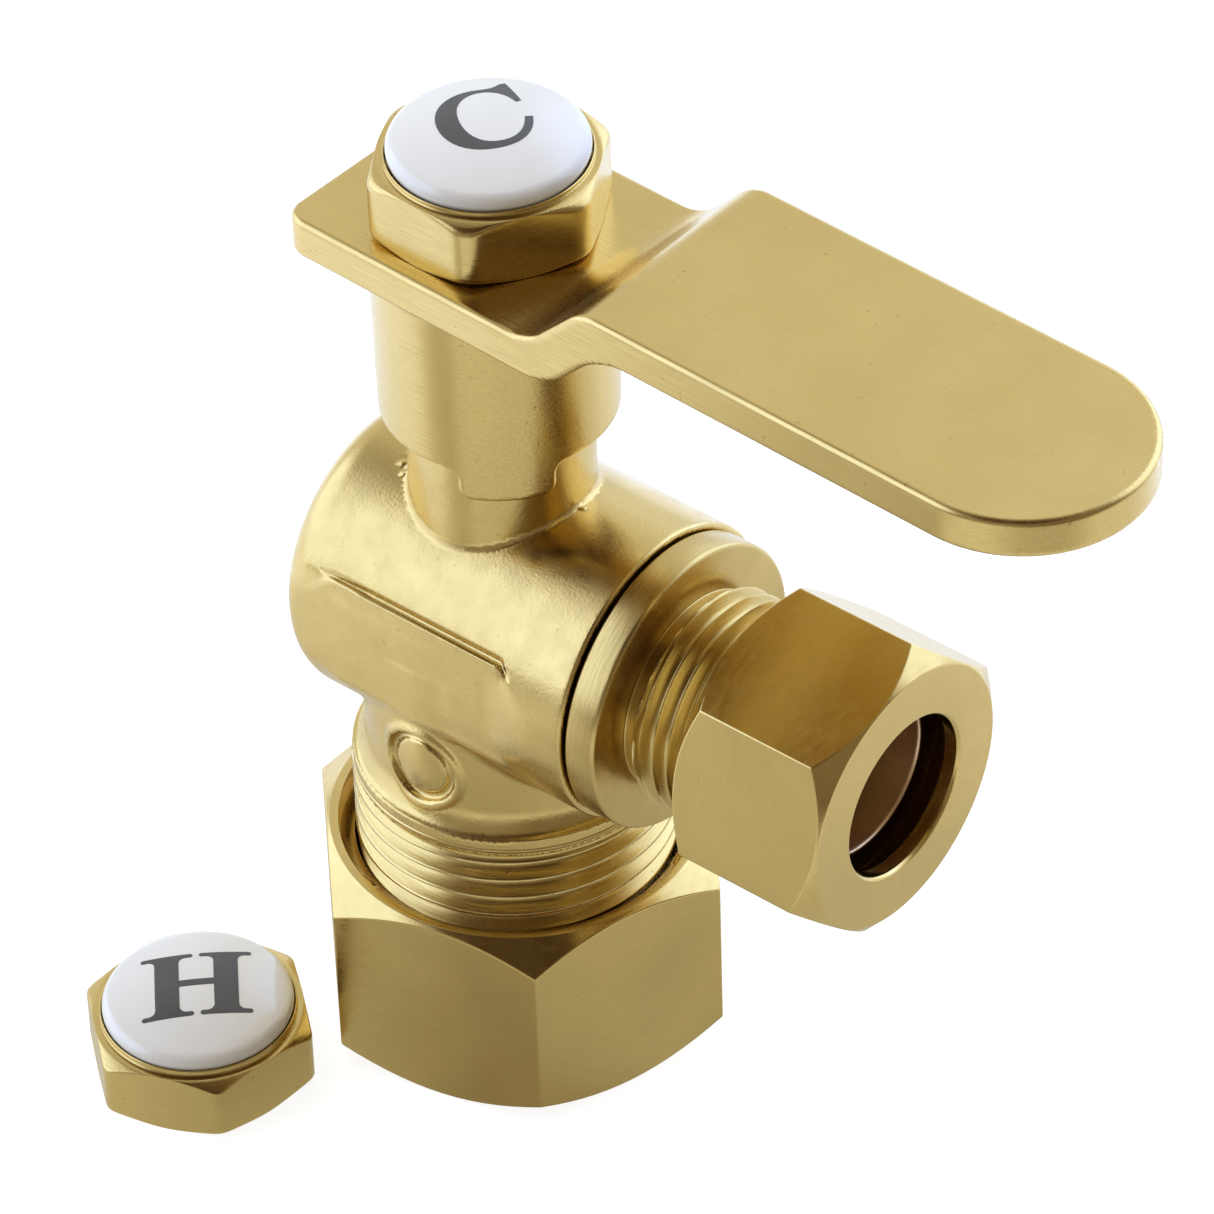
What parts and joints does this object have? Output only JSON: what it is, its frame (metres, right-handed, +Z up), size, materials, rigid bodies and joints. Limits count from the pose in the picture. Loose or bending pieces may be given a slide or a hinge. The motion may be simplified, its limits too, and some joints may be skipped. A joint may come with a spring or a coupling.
{
  "type": "angle stop valve",
  "caption": "Quarter-turn brass angle stop valve with compression inlet and side outlet, flat lever, and porcelain index buttons held in hexagonal cap nuts.",
  "frame": {"origin": "on the inlet tube's axis, in the plane of the inlet nut's lower face", "axes": "+Z up along the inlet tube, the ball's stem and the lever's turning axis; +X out of the outlet, square to the inlet; the lever points along +X when the valve is open"},
  "size_m": [0.065, 0.0386, 0.067],
  "materials": {
    "forged_brass": "satin",
    "turned_brass": "fine turned",
    "brushed_brass": "brushed",
    "polished_brass": "polished",
    "soft_brass": "turned",
    "ball_chrome": "mirror",
    "seat_ptfe": "matte",
    "seal_rubber": "matte",
    "button_porcelain": "glazed",
    "index_letter": "satin"
  },
  "bodies": {
    "valve": {"valve_body": "forged_brass", "outlet_retainer": "turned_brass", "retainer_o_ring": "seal_rubber", "back_seat": "seat_ptfe", "back_seat_o_ring": "seal_rubber", "outlet_seat": "seat_ptfe", "stem_thrust_washer": "seat_ptfe"},
    "lever": {"lever_handle": "brushed_brass", "stem": "turned_brass", "stem_o_ring_lower": "seal_rubber", "stem_o_ring_upper": "seal_rubber"},
    "ball": {"ball": "ball_chrome"},
    "cold_button": {"cold_button": "button_porcelain"},
    "index_nut": {"index_nut": "brushed_brass"},
    "inlet_ferrule": {"inlet_ferrule": "soft_brass"},
    "inlet_nut": {"inlet_nut": "polished_brass"},
    "outlet_ferrule": {"outlet_ferrule": "soft_brass"},
    "outlet_nut": {"outlet_nut": "polished_brass"},
    "spare_cap": {"spare_index_nut": "polished_brass", "hot_button": "button_porcelain"}
  },
  "joints": [
    {"name": "lever_turn", "type": "hinge", "parent": "valve", "child": "lever", "pos_m": [0, 0, 0], "axis": [0, 0, 1], "range_deg": [-88, 2]},
    {"name": "ball_turn", "type": "hinge", "parent": "valve", "child": "ball", "pos_m": [0, 0, 0.0317], "axis": [0, 0, 1], "range_deg": [-88, 2]},
    {"name": "index_nut_travel", "type": "slide", "parent": "lever", "child": "cold_button", "axis": [0, 0, 1], "range_m": [0, 0.0021]},
    {"name": "index_nut_turn", "type": "hinge", "parent": "cold_button", "child": "index_nut", "pos_m": [0, 0, 0.06095], "axis": [0, 0, 1], "range_deg": [0, 1080]},
    {"name": "inlet_nut_travel", "type": "slide", "parent": "valve", "child": "inlet_ferrule", "axis": [0, 0, -1], "range_m": [0, 0.00424]},
    {"name": "inlet_nut_turn", "type": "hinge", "parent": "inlet_ferrule", "child": "inlet_nut", "pos_m": [0, 0, 0], "axis": [0, 0, -1], "range_deg": [0, 1080]},
    {"name": "outlet_nut_travel", "type": "slide", "parent": "valve", "child": "outlet_ferrule", "axis": [1, 0, 0], "range_m": [0, 0.00318]},
    {"name": "outlet_nut_turn", "type": "hinge", "parent": "outlet_ferrule", "child": "outlet_nut", "pos_m": [0.0301, 0, 0.0317], "axis": [1, 0, 0], "range_deg": [0, 1080]},
    {"name": "spare_cap_lift", "type": "slide", "parent": "valve", "child": "spare_cap", "axis": [0, 0, 1], "range_m": [0, 0.02]}
  ],
  "couplings": [
    {"joint": "ball_turn", "follows": "lever_turn", "ratio": 1},
    {"joint": "index_nut_travel", "follows": "index_nut_turn", "m_per_rad": 0.00011141},
    {"joint": "inlet_nut_travel", "follows": "inlet_nut_turn", "m_per_rad": 0.00022459},
    {"joint": "outlet_nut_travel", "follows": "outlet_nut_turn", "m_per_rad": 0.00016844}
  ]
}
